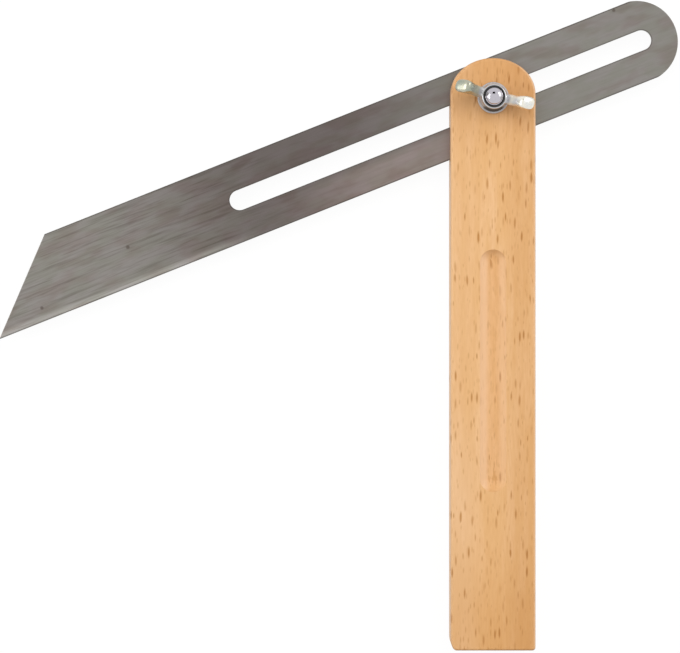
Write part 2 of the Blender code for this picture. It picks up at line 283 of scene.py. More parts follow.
spring = half_length - ARCH_RISE
kerf_floor = BUTT_LENGTH - half_length
kerf_heights = np.linspace(kerf_floor, spring, KERF_STEPS)[:-1]
side_heights = np.concatenate([[half_width - half_length], kerf_heights])


def side(x, heights):
    """Points straight up or down one side of the stock."""
    return np.stack([np.full(len(heights), x), heights], 1)


def stock_outline():
    """The stock from the front, anticlockwise: the right foot corner, the right side, half an ellipse over
    the top, the left side, a quarter of an ellipse for the worn corner, and the foot."""
    foot = -half_length
    corner = ARRIS + 2 * ARRIS_GUARD
    worn_centre = (FOOT_CORNER_WIDTH - half_width, foot + FOOT_CORNER_HEIGHT)
    worn_radii = (FOOT_CORNER_WIDTH, FOOT_CORNER_HEIGHT)
    return np.concatenate(
        [
            arc((half_width - corner, foot + corner), (corner, corner), -quarter, 0, CORNER_STEPS),
            run((half_width, foot + corner), (half_width, side_heights[0]), 2),
            side(half_width, side_heights),
            arc((0, spring), (half_width, ARCH_RISE), 0, math.pi, ARCH_STEPS, whole=True),
            side(-half_width, side_heights[::-1]),
            arc(worn_centre, worn_radii, math.pi, 3 * quarter, WORN_STEPS),
            run((worn_centre[0], foot), (half_width - corner, foot), CORNER_STEPS),
        ]
    )


def stock_body():
    """The whole block: a section carried round the outline. The section starts on the middle line of the
    back, runs out to the back's arris, round it, up the side, round the front's arris, and back in."""
    outline = stock_outline()
    towards = inward(outline)
    bend = np.linspace(0, quarter, ROUND_STEPS)
    inset = np.concatenate([[ARRIS + ARRIS_GUARD], ARRIS * (1 - np.sin(bend))])
    rise = np.concatenate([[0], ARRIS * (1 - np.cos(bend))])
    inset = np.concatenate([inset, inset[::-1]])
    height = np.concatenate([rise, thickness - rise[::-1]])
    walls = outline[:, None] + inset[None, :, None] * towards[:, None]
    middle = np.stack([0 * outline[:, 0], np.clip(outline[:, 1], half_width - half_length, spring)], 1)
    sheet = np.concatenate([middle[:, None], walls, middle[:, None]], 1)
    heights = np.concatenate([[0], height, [thickness]])
    return surface("stock_beech", at_height(sheet, heights))


def kerf_tool():
    """The saw kerf: a flat slot whose lips, at the stock's outline, flare at 45 degrees to ease its edges.
    Its section, from the middle line out and back, is carried up one side, over the arch and down."""
    upper = side_heights[1:]
    path = np.concatenate(
        [
            side(half_width, upper),
            arc((0, spring), (half_width, ARCH_RISE), 0, math.pi, ARCH_STEPS, whole=True),
            side(-half_width, upper[::-1]),
        ]
    )
    towards = inward(path)
    towards[[0, -1]] = (-1, 0), (1, 0)
    inset = np.array([KERF_EASE, -OVERRUN, -OVERRUN, KERF_EASE])
    half = KERF_WIDTH / 2
    flare = half + KERF_EASE + OVERRUN
    walls = path[:, None] + inset[None, :, None] * towards[:, None]
    middle = np.stack([0 * path[:, 0], np.clip(path[:, 1], kerf_floor, spring)], 1)
    sheet = np.concatenate([middle[:, None], walls, middle[:, None]], 1)
    heights = blade_middle + np.array([half, half, flare, -flare, -half, -half])
    return surface("kerf_tool", at_height(sheet, heights), ring=False)


def bolt_hole_tool():
    """The stepped hole through the stock, eased at its mouth in the back."""
    radius = [0, BOLT_HOLE, BOLT_HOLE, NECK_HOLE, NECK_HOLE, HEAD_HOLE, HEAD_HOLE, HEAD_HOLE + OVERRUN, 0]
    top, past_back = thickness + OVERRUN, HOLE_EASE - OVERRUN
    steps = [top, top, blade_middle, blade_middle, HEAD_FLOOR, HEAD_FLOOR]
    return surface("bolt_hole_tool", turned(radius, [*steps, HOLE_EASE, past_back, past_back]))


def groove_tool():
    """A capsule along Y whose belly sinks into the front face: its radius is that of the circle through
    the groove's two edges and its floor, and each end is a quarter of that circle."""
    radius = (GROOVE_WIDTH**2 / 4 + GROOVE_DEPTH**2) / (2 * GROOVE_DEPTH)
    straight = (GROOVE_LENGTH - GROOVE_WIDTH) / 2
    cap = arc((0, straight), (radius, radius), 0, quarter, GROOVE_END_STEPS, whole=True)
    profile = np.concatenate([cap[::-1], cap * (1, -1)])
    angle = np.linspace(0, math.tau, GROOVE_TURN_STEPS, endpoint=False)[:, None]
    middle = half_length - GROOVE_FROM_TOP - GROOVE_LENGTH / 2
    x = profile[:, 0] * np.cos(angle)
    z = thickness - GROOVE_DEPTH + radius + profile[:, 0] * np.sin(angle)
    y = np.broadcast_to(middle + profile[:, 1], x.shape)
    return surface("groove_tool", np.stack([x, y, z], -1))


def make_stock():
    """The block less its kerf, its hole and its groove. The cuts leave some points a hair apart, which are
    welded, so that the mesh is closed."""
    stock = stock_body()
    for tool in (kerf_tool(), bolt_hole_tool(), groove_tool()):
        combine(stock, tool, "DIFFERENCE")
    bm = bmesh.new()
    bm.from_mesh(stock.data)
    bmesh.ops.remove_doubles(bm, verts=bm.verts, dist=WELD)
    bm.to_mesh(stock.data)
    bm.free()
    return stock


# Blade


def blade_loops():
    """The blade's outline and its slot as two anticlockwise loops, point for point: the round end faces the
    slot's near end, the long edges its sides, and the pointed end its far end."""
    half = BLADE_WIDTH / 2
    end_radius = half + ROUND_END_EASE
    round_end = BOLT_FROM_SLOT_END + SLOT_FROM_ROUND_END
    sweep = math.asin(half / end_radius)
    end_centre = (round_end - end_radius, 0)
    end_corner = end_centre[0] + end_radius * math.cos(sweep)
    tip = round_end - BLADE_LENGTH
    shoulder = tip + BLADE_WIDTH / math.tan(math.radians(POINT_ANGLE))
    slot_radius = SLOT_WIDTH / 2
    near = BOLT_FROM_SLOT_END - slot_radius
    far = BOLT_FROM_SLOT_END - SLOT_LENGTH + slot_radius
    outline = np.concatenate(
        [
            arc(end_centre, (end_radius, end_radius), -sweep, sweep, BLADE_END_STEPS),
            run((end_corner, half), (far, half), BLADE_SIDE_STEPS),
            run((far, half), (shoulder, half), BLADE_POINT_STEPS[0]),
            run((shoulder, half), (tip, -half), BLADE_POINT_STEPS[1]),
            run((tip, -half), (far, -half), BLADE_POINT_STEPS[2]),
            run((far, -half), (end_corner, -half), BLADE_SIDE_STEPS),
        ]
    )
    slot = np.concatenate(
        [
            arc((near, 0), (slot_radius, slot_radius), -quarter, quarter, BLADE_END_STEPS),
            run((near, slot_radius), (far, slot_radius), BLADE_SIDE_STEPS),
            arc((far, 0), (slot_radius, slot_radius), quarter, 3 * quarter, sum(BLADE_POINT_STEPS)),
            run((far, -slot_radius), (near, -slot_radius), BLADE_SIDE_STEPS),
        ]
    )
    return outline, slot


def make_blade():
    """The plate: a section carried round both loops at once. It crosses the front from the slot's lip to the
    outer edge, rounds that edge, crosses the back and closes up the slot's wall."""
    outline, slot = blade_loops()
    inside, outside = inward(outline), -inward(slot)
    half = BLADE_THICKNESS / 2
    bend = np.linspace(0, quarter, BLADE_EDGE_STEPS)
    inset = np.concatenate([[3 * BLADE_EDGE], BLADE_EDGE * (1 - np.sin(bend))])
    height = half - np.concatenate([[0], BLADE_EDGE * (1 - np.cos(bend))])
    down = np.concatenate([inset, inset[::-1]]), np.concatenate([height, -height[::-1]])
    outer = outline[:, None] + down[0][None, :, None] * inside[:, None]
    inner = slot[:, None] + down[0][None, ::-1, None] * outside[:, None]
    flat = np.concatenate([outer, inner], 1)
    points = at_height(flat, blade_middle + np.concatenate([down[1], down[1][::-1]]))
    cos, sin = math.cos(blade_turn), math.sin(blade_turn)
    x, y = points[..., 0], points[..., 1]
    placed = np.stack([x * cos - y * sin, pivot[1] + x * sin + y * cos, points[..., 2]], -1)
    return surface("blade_steel", placed, loop=True)


# Bolt, washer and nut


def thread(angle, height):
    """How deep the metric form is, from 0 on a crest to 1 at a root. A point's distance from the nearest
    crest, in pitches, is that of its height less the helix's rise at its angle from a whole number."""
    off_crest = np.abs((height / THREAD_PITCH - angle / math.tau + 0.5) % 1 - 0.5)
    return np.clip((off_crest - CREST_SHARE) / FLANK_SHARE, 0, 1)


def make_bolt():
    """The bolt in one grid of angle and station, from the middle of its head up to its domed end. Each
    station has a radius and a height, a share of squareness for the neck and a depth for the thread. A
    square's reach is one over the sum of the cosine's and sine's powers, to the root of that power. Over
    its last pitch the thread's crest falls to the radius of the domed end, so that the nut can pass it."""
    bend = np.linspace(0, quarter, CROWN_STEPS)
    bend_soft = np.linspace(0, quarter, RIM_STEPS)
    seat = bolt_low.z + HEAD_CROWN + HEAD_RIM
    rim_corner = HEAD_RADIUS - HEAD_SOFT + HEAD_SOFT * np.cos(bend_soft)
    neck_heights = np.linspace(seat, NECK_TOP, NECK_STEPS)
    dome_base = bolt_high.z - END_DOME
    rise = np.arange(THREAD_START, dome_base, THREAD_PITCH / STEPS_TO_A_PITCH)
    dome = np.linspace(0, quarter, DOME_STEPS)
    stations = [
        (HEAD_RADIUS * np.sin(bend), bolt_low.z + HEAD_CROWN * (1 - np.cos(bend)), 0, 0),
        (rim_corner, seat - HEAD_SOFT + HEAD_SOFT * np.sin(bend_soft), 0, 0),
        (np.array([NECK_FOOT]), np.array([seat]), 0, 0),
        (np.full(NECK_STEPS, SHANK_RADIUS), neck_heights, 1, 0),
        (np.full(2, SHANK_RADIUS), np.array([NECK_TOP, THREAD_START - THREAD_PITCH]), 0, 0),
        (np.full(len(rise), CREST_RADIUS), rise, 0, 1),
        (END_RADIUS * np.cos(dome), dome_base + END_DOME * np.sin(dome), 0, 0),
    ]
    radius = np.concatenate([s[0] for s in stations])
    height = np.concatenate([s[1] for s in stations])
    squareness = np.concatenate([np.full(len(s[0]), float(s[2])) for s in stations])
    threaded = np.concatenate([np.full(len(s[0]), float(s[3])) for s in stations])
    run_out = np.clip((dome_base - height) / THREAD_PITCH, 0, 1)
    run_in = np.clip((height - THREAD_START) / THREAD_PITCH, 0, 1)
    depth = threaded * run_in * run_out * DEPTH_SHARE * THREAD_PITCH
    radius -= threaded * (1 - run_out) * (CREST_RADIUS - END_RADIUS)
    angle = np.linspace(0, math.tau, BOLT_TURN_STEPS, endpoint=False)[:, None]
    turn = angle - blade_turn
    square = (np.abs(np.cos(turn)) ** NECK_POWER + np.abs(np.sin(turn)) ** NECK_POWER) ** (-1 / NECK_POWER)
    reach = radius * (1 + squareness * (square - 1)) - depth * thread(angle, height)
    x, y = reach * np.cos(angle), pivot[1] + reach * np.sin(angle)
    return surface("bolt_plated", np.stack([x, y, np.broadcast_to(height, x.shape)], -1))


def make_washer():
    """A flat ring: its section is a rectangle with rounded corners, carried round the bolt's axis."""
    outer = washer_high.x
    soft = WASHER_SOFT
    corners = (
        (outer - soft, washer_low.z + soft, -quarter, soft),
        (outer - soft, washer_high.z - soft, 0, soft),
        (WASHER_BORE + soft / 2, washer_high.z - soft / 2, quarter, soft / 2),
        (WASHER_BORE + soft / 2, washer_low.z + soft / 2, 2 * quarter, soft / 2),
    )
    section = np.concatenate(
        [arc((r, z), (by, by), a, a + quarter, WASHER_CORNER_STEPS, whole=True) for r, z, a, by in corners]
    )
    return surface("washer_zinc", turned(section[:, 0], section[:, 1]), loop=True)


def ear(side_of_nut):
    """One ear: an eight-sided section carried out along its centre line and rolled about it, more the further
    out it stands, so that its face leans over. Subdivision rounds it."""
    reach, rise, width, thick = np.array(WING_STATION_SHARES).T
    line = np.stack([side_of_nut * reach * WING_SPAN / 2, nut_low.z + rise * WING_HEIGHT], 1)
    along = np.gradient(line, axis=0)
    along /= np.linalg.norm(along, axis=1, keepdims=True)
    across = np.stack([-along[:, 1], along[:, 0]], 1) * (width * WING_HEIGHT)[:, None]
    wide, deep = np.array(EAR_SECTION_SHARES).T
    sheet = line[:, None] + wide[None, :, None] * across[:, None]
    lean = -side_of_nut * WING_LEAN * (sheet[..., 1] - line[:, 1:]) / (WING_HEIGHT / 2) * reach[:, None]
    y = WING_OFFSET + lean + deep * (thick * WING_THICKNESS / 2)[:, None]
    turn = math.radians(WING_ANGLE)
    x = sheet[..., 0] * math.cos(turn) - y * math.sin(turn)
    y = pivot[1] + sheet[..., 0] * math.sin(turn) + y * math.cos(turn)
    made = surface("ear", np.stack([x, y, sheet[..., 1]], -1), ring=False, loop=True)
    soft = made.modifiers.new("rounded", "SUBSURF")
    soft.levels = EAR_LEVELS
    soft.render_levels = EAR_LEVELS
    apply_modifiers(made)
    return made


def nut_bore_tool():
    """The nut's bore: the larger of the thread's own form and the cone of the countersink at each mouth. The
    form is cut past the bolt's crests by a third of the thread's depth."""
    top = nut_low.z + NUT_HEIGHT
    low, high = nut_low.z - OVERRUN, top + OVERRUN
    height = np.linspace(low, high, BORE_STEPS)
    angle = np.linspace(0, math.tau, TURN_STEPS, endpoint=False)[:, None]
    deepest = CREST_RADIUS + THREAD_PITCH * DEPTH_SHARE / 3
    form = NUT_CORE + (deepest - NUT_CORE) * (1 - thread(angle, height))
    cone = NUT_MOUTH - np.minimum(height - nut_low.z, top - height)
    reach = np.maximum(form, cone)
    x, y = reach * np.cos(angle), pivot[1] + reach * np.sin(angle)
    return surface("nut_bore_tool", np.stack([x, y, np.broadcast_to(height, x.shape)], -1))


def make_nut():
    """A turned body with two ears, made one by remeshing and rounded where they meet, then bored."""
    top = nut_low.z + NUT_HEIGHT
    shoulder_centre = (NUT_TOP_RADIUS - NUT_SHOULDER, top - NUT_SHOULDER)
    shoulder = arc(shoulder_centre, (NUT_SHOULDER, NUT_SHOULDER), 0, quarter, CORNER_STEPS, whole=True)
    radius = np.concatenate([[0, NUT_FOOT_RADIUS - HEAD_SOFT, NUT_FOOT_RADIUS], shoulder[:, 0], [0]])
    height = np.concatenate([[nut_low.z, nut_low.z, nut_low.z + HEAD_SOFT], shoulder[:, 1], [top]])
    nut = surface("wing_nut_zinc", turned(radius, height))
    for side_of_nut in (1, -1):
        combine(nut, ear(side_of_nut), "UNION")
    skin = nut.modifiers.new("skin", "REMESH")
    skin.mode = "VOXEL"
    skin.voxel_size = FORGING_GRAIN
    soft = nut.modifiers.new("soft", "SMOOTH")
    soft.factor = FORGING_SOFTNESS
    soft.iterations = FORGING_ROUNDS
    apply_modifiers(nut)
    combine(nut, nut_bore_tool(), "DIFFERENCE")
    return nut


# Materials. The settings of the nodes that come again and again: a smooth step, a mix of two numbers, a
# mix of two colours, a colour multiplied by another, and the products and sums of numbers and vectors
EASE = {"kind": "ShaderNodeMapRange", "interpolation_type": "SMOOTHSTEP"}
BLEND = {"kind": "ShaderNodeMix"}
MIX = {"kind": "ShaderNodeMix", "data_type": "RGBA"}
TINT = {"kind": "ShaderNodeMix", "data_type": "RGBA", "blend_type": "MULTIPLY"}
TIMES = {"kind": "ShaderNodeMath", "operation": "MULTIPLY"}
LESS = {"kind": "ShaderNodeMath", "operation": "SUBTRACT"}
LARGER = {"kind": "ShaderNodeMath", "operation": "MAXIMUM"}
SIZE_OF = {"kind": "ShaderNodeMath", "operation": "ABSOLUTE"}
SCALED = {"kind": "ShaderNodeVectorMath", "operation": "MULTIPLY"}
SCALED_AND_MOVED = {"kind": "ShaderNodeVectorMath", "operation": "MULTIPLY_ADD"}
FROM = {"kind": "ShaderNodeVectorMath", "operation": "SUBTRACT"}
LENGTH = {"kind": "ShaderNodeVectorMath", "operation": "LENGTH"}


def linear(colour):
    """The linear red, green, blue and alpha of an sRGB hex colour: a byte over 255, plus 0.055, over 1.055,
    to the power 2.4, or a twelfth of it in the darkest part."""
    share = np.array([int(colour[i : i + 2], 16) for i in (1, 3, 5)]) / 255
    return (*np.where(share <= 0.04045, share / 12.92, ((share + 0.055) / 1.055) ** 2.4), 1.0)


def add(tree, inputs, kind, **settings):
    """Adds a node with its settings, gives its inputs values or links in their order or by name, and returns
    its outputs."""
    node = tree.nodes.new(kind)
    for name, value in settings.items():
        setattr(node, name, value)
    for key, value in inputs.items() if isinstance(inputs, dict) else enumerate(inputs):
        if isinstance(value, bpy.types.NodeSocket):
            tree.links.new(value, node.inputs[key])
        else:
            node.inputs[key].default_value = value
    return node.outputs


def new_material(name):
    """An empty material and its tree."""
    material = bpy.data.materials.new(name)
    material.use_nodes = True
    tree = material.node_tree
    tree.nodes.clear()
    return material, tree


def own_place(tree):
    """The object's own coordinates in millimetres, and its normal."""
    place = add(tree, (), "ShaderNodeTexCoord")
    mm = add(tree, (place["Object"], (1000, 1000, 1000)), **SCALED)["Vector"]
    return mm, place["Normal"]


def pattern(tree, place, size, kind="ShaderNodeTexNoise", seed=0.0, **inputs):
    """A texture stretched until one of its features has the given size in millimetres."""
    scaled = add(tree, (place, [1 / s for s in size], (seed, seed, seed)), **SCALED_AND_MOVED)
    return add(tree, {"Vector": scaled["Vector"], "Scale": 1.0, **inputs}, kind)


# Beech: the size of one feature across the stock, along it and through it, in millimetres
FLECK = (1.35, 6.6, 26.0)
SMALL_FLECK = (0.95, 3.8, 14.0)
STRIPE = (2.3, 30.0, 5.0)
BROAD_STRIPE = (9.0, 45.0, 12.0)
FIBRE = (0.55, 5.0, 0.55)

# Where in its noise, or in the rings' wave, each pattern begins and ends, and its least and greatest share
STRIPE_SHOWS = (0.36, 0.64, 0.0, 1.0)
BROAD_SHOWS = (0.38, 0.62, 0.0, 0.6)
FIBRE_SHOWS = (0.30, 0.70, 0.0, 0.32)
RING_SHOWS = (-1.0, 1.0, 0.0, 0.14)
PORES_SHOW = (-1.0, 1.0, 0.0, 1.0)

# The grain wanders by this far over this length; the rings' spacing; and a point on the tree's pith
WANDER_REACH = (3.0, 0.0, 3.0)
WANDER_LENGTH = 45.0
RING_SPACING = 2.6
PITH = (9.0, 0.0, -52.0)

# Spindles: the least and the most of half a cell that one fills, and where its edge begins and ends
FLECK_REACH = (0.20, 0.42)
FLECK_EDGE = (1.0, 0.3)

# The least and the most that a spindle darkens the wood, small ones and large
SMALL_FLECK_SHARE = (0.10, 0.50)
FLECK_SHARE = (0.25, 0.85)

# The lacquer's roughness off and on a spindle, and how deep the fibres and spindles lie in it
LACQUER_ROUGHNESS = (0.42, 0.58)
GRAIN_RELIEF = {"Strength": 0.12, "Distance": 0.00004}

# How far along the stock its rounded end and its foot deepen in tone, and by how much
TOP_TONE = (64.0, 88.0, 0.0, 0.85)
FOOT_TONE = (-52.0, -99.0, 0.0, 0.65)

# How squarely a surface cuts the grain, towards the foot and towards the rounded end, before it shows as end
# grain; towards the foot it starts at a slight turn, so it also paints shade on the groove's upper end wall.
# How far a surface turns right and left before it takes a paler, pinker painted sheen, as from a light at
# the right. The left side faces are painted a little darker, as shade
END_GRAIN_AND_SHADE = (-0.12, -0.95, 0.0, 0.92)
SANDED_END = (0.40, 0.80, 0.0, 0.60)
RIGHT_SHEEN = (0.12, 0.42, 0.0, 0.60)
LEFT_SHEEN = (-0.12, -0.42, 0.0, 0.15)
LEFT_SIDE_SHADE = (-0.60, -0.95, 0.0, 1.0)

# The right third of the front is a little yellower, and so is the floor of the groove
YELLOW_SIDE = (2.0, 9.0, 0.0, 1.0)
GROOVE_FLOOR = (17.6, 16.6, 0.0, 0.9)

# The gouge has torn the grain in the groove's floor: the size of a mark, where in the noise the marks begin
# and end, and how they gather at the groove's lower end
TORN = (1.0, 3.2, 6.0)
TORN_EDGE = (0.50, 0.66, 0.0, 0.85)
TORN_FOOT = (-34.0, -43.0, 0.22, 0.9)

# The left third is a little paler, most of all low down
PALE_SIDE = (-2.0, -10.0, 0.0, 0.30)
PALE_FOOT = (-10.0, -48.0, 0.30, 1.0)


def flecks(tree, grain, size, darkness):
    """Spindles, one to a cell, each as long and as dark as its cell's own random colour says."""
    cell = pattern(tree, grain, size, "ShaderNodeTexVoronoi")
    chance = add(tree, (cell["Color"],), "ShaderNodeSeparateColor")
    reach = add(tree, (chance[0], 0, 1, *FLECK_REACH), **EASE)[0]
    dark = add(tree, (chance[1], 0, 1, *darkness), **EASE)[0]
    share = add(tree, (cell["Distance"], reach), "ShaderNodeMath", operation="DIVIDE")[0]
    spot = add(tree, (share, *FLECK_EDGE, 0, 1), **EASE)[0]
    return add(tree, (spot, dark), **TIMES)[0]


def lacquered_beech():
    """Flat-sawn beech, planed, sanded and clear-lacquered. The rays end on the front as short dark
    spindles along the grain, and the growth rings give it broad faint stripes, so the whole block is cut
    from one pattern in depth. The lacquer leaves it satin, and the sawn ends drink more of it and darken."""
    material, tree = new_material("lacquered_beech")
    mm, normal = own_place(tree)
    sway = add(tree, {"Vector": mm, "Scale": 1 / WANDER_LENGTH, "Detail": 1.0}, "ShaderNodeTexNoise")
    grain = add(tree, (sway["Color"], WANDER_REACH, mm), **SCALED_AND_MOVED)["Vector"]
    stripe = add(tree, (pattern(tree, grain, STRIPE, Detail=3.0)[0], *STRIPE_SHOWS), **EASE)[0]
    broad = add(tree, (pattern(tree, grain, BROAD_STRIPE, Detail=1.0)[0], *BROAD_SHOWS), **EASE)[0]
    fibre = add(tree, (pattern(tree, grain, FIBRE, Detail=2.0)[0], *FIBRE_SHOWS), **EASE)[0]
    from_pith = add(tree, (grain, PITH), **FROM)[0]
    radius = add(tree, (add(tree, (from_pith, (1, 0, 1)), **SCALED)[0],), **LENGTH)["Value"]
    phase = add(tree, (radius, math.tau / RING_SPACING), **TIMES)[0]
    wave = add(tree, (phase,), "ShaderNodeMath", operation="SINE")[0]
    ring = add(tree, (wave, *RING_SHOWS), **EASE)[0]
    short_flecks = flecks(tree, grain, SMALL_FLECK, SMALL_FLECK_SHARE)
    long_flecks = flecks(tree, grain, FLECK, FLECK_SHARE)
    split = add(tree, (mm,), "ShaderNodeSeparateXYZ")
    facing = add(tree, (normal,), "ShaderNodeSeparateXYZ")
    pale = [add(tree, (split["X"], *PALE_SIDE), **EASE)[0], add(tree, (split["Y"], *PALE_FOOT), **EASE)[0]]
    pale = add(tree, (add(tree, pale, **TIMES)[0], facing["Z"]), **TIMES)[0]
    colour = linear("#E7B67E")
    for share, tone in (
        (stripe, "#EDBE8B"),
        (broad, "#E4B176"),
        (ring, "#DBA468"),
        (fibre, "#D9A165"),
        (pale, "#F0C8A0"),
        (short_flecks, "#C08A4C"),
        (long_flecks, "#B27836"),
    ):
        colour = add(tree, {0: share, 6: colour, 7: linear(tone)}, **MIX)[2]
    in_groove = add(tree, (add(tree, (split["Z"], *GROOVE_FLOOR), **EASE)[0], facing["Z"]), **TIMES)[0]
    for share, tint in (
        (add(tree, (split["Y"], *TOP_TONE), **EASE)[0], "#F0E5D6"),
        (add(tree, (split["Y"], *FOOT_TONE), **EASE)[0], "#EEE1C8"),
        (add(tree, (split["X"], *YELLOW_SIDE), **EASE)[0], "#F6F1E9"),
        (add(tree, (in_groove, 0.0), **LARGER)[0], "#F9F3EA"),
        # Painted shade: the stock's left side faces are made a little darker
        (add(tree, (facing["X"], *LEFT_SIDE_SHADE), **EASE)[0], "#ECECEC"),
    ):
        colour = add(tree, {0: share, 6: colour, 7: linear(tint)}, **TINT)[2]
    torn = add(tree, (pattern(tree, grain, TORN, seed=4.4, Detail=2.0)[0], *TORN_EDGE), **EASE)[0]
    torn = add(tree, (torn, add(tree, (split["Y"], *TORN_FOOT), **EASE)[0]), **TIMES)[0]
    torn = add(tree, (torn, in_groove), **TIMES)[0]
    colour = add(tree, {0: torn, 6: colour, 7: linear("#C48A47")}, **MIX)[2]
    # Painted sheen: surfaces turned to the right are made paler and pinker, those turned left a little
    side_sheen = [add(tree, (facing["X"], *fade), **EASE)[0] for fade in (RIGHT_SHEEN, LEFT_SHEEN)]
    side_sheen = add(tree, side_sheen, **LARGER)[0]
    colour = add(tree, {0: side_sheen, 6: colour, 7: linear("#F2C69C")}, **MIX)[2]
    # Sawn ends darken as end grain; towards the foot this starts at a slight turn, so it also paints shade in
    # the groove's upper end wall
    end_grain_and_shade = [add(tree, (facing["Y"], *fade), **EASE)[0] for fade in (END_GRAIN_AND_SHADE, SANDED_END)]
    end_grain_and_shade = add(tree, end_grain_and_shade, **LARGER)[0]
    pores = add(tree, (wave, *PORES_SHOW), **EASE)[0]
    end_colour = add(tree, {0: pores, 6: linear("#C89053"), 7: linear("#B67C40")}, **MIX)[2]
    colour = add(tree, {0: end_grain_and_shade, 6: colour, 7: end_colour}, **MIX)[2]
    rough = add(tree, (long_flecks, 0, 1, *LACQUER_ROUGHNESS), **EASE)[0]
    hollow = add(tree, (fibre, long_flecks), **LARGER)[0]
    bump = add(tree, {**GRAIN_RELIEF, "Height": hollow}, "ShaderNodeBump", invert=True)
    finish = {
        "Base Color": colour,
        "Roughness": rough,
        "Specular IOR Level": 0.45,
        "Coat Weight": 0.12,
        "Coat Roughness": 0.30,
        "Normal": bump[0],
    }
    shader = add(tree, finish, "ShaderNodeBsdfPrincipled")
    add(tree, {"Surface": shader[0]}, "ShaderNodeOutputMaterial")
    return material


# Steel: the size of one feature along the blade, across it and through it, in millimetres
GRIND = (15.0, 0.9, 20.0)
FINE_GRIND = (8.0, 0.4, 20.0)
BLOOM = (11.0, 4.5, 30.0)

# Each tint over the steel: its pattern and seed, where in the noise it begins and ends, and its colour.
# The streaks of the grinding show most by the point
BLOOM_TINTS = (
    (BLOOM, 0.0, 0.38, 0.62, "#F7FAF4"),
    (BLOOM, 7.3, 0.42, 0.66, "#F5EEED"),
)
GRIND_TINTS = (
    (GRIND, 3.1, 0.45, 0.72, "#E4E2E0"),
    (FINE_GRIND, 5.7, 0.45, 0.72, "#F3F2F0"),
)
STREAK_REACH = (-55.0, -112.0, 0.25, 1.0)

# Millimetres along the blade from the bolt to the middle of its dark patch, and the patch's fading
PATCH_MIDDLE = -67.0
PATCH_FADE = (8.0, 80.0, 0.97, 0.0)

# The rail under the slot is paler towards the bolt, and the long edge by the point is rubbed bright
RAIL_FADE = (-2.0, -7.0, 0.0, 1.0)
RAIL_REACH = (-92.0, -36.0, 0.0, 0.8)
RAIL_END = (14.0, -14.0, 0.0, 1.0)
RUB_FADE = (-10.8, -13.0, 0.0, 0.6)
RUB_REACH = (-84.0, -118.0, 0.0, 1.0)

# A dark line runs along the long edges and round the slot
EDGE_LINE = (13.10, 13.35, 0.0, 0.6)
SLOT_LINE = (3.85, 3.55, 0.0, 0.6)

# Two rust specks and a nick in the blade's far edge: places in millimetres, and their radii. Each fades
# from the first of these shares of its radius to the second, and darkens the steel by the third number
SPECKS = ((-122.5, 36.0, 0.55), (-151.4, 15.5, 0.5), (40.9, 115.6, 0.5))
SPECK_FADE = (1.6, 0.6)
SPECK_SHARE = 0.6

# The steel's roughness over the grinding's noise, and how deep the fine grinding lies
STEEL_ROUGHNESS = (0.35, 0.65, 0.34, 0.46)
GRIND_RELIEF = {"Strength": 0.10, "Distance": 0.00002}


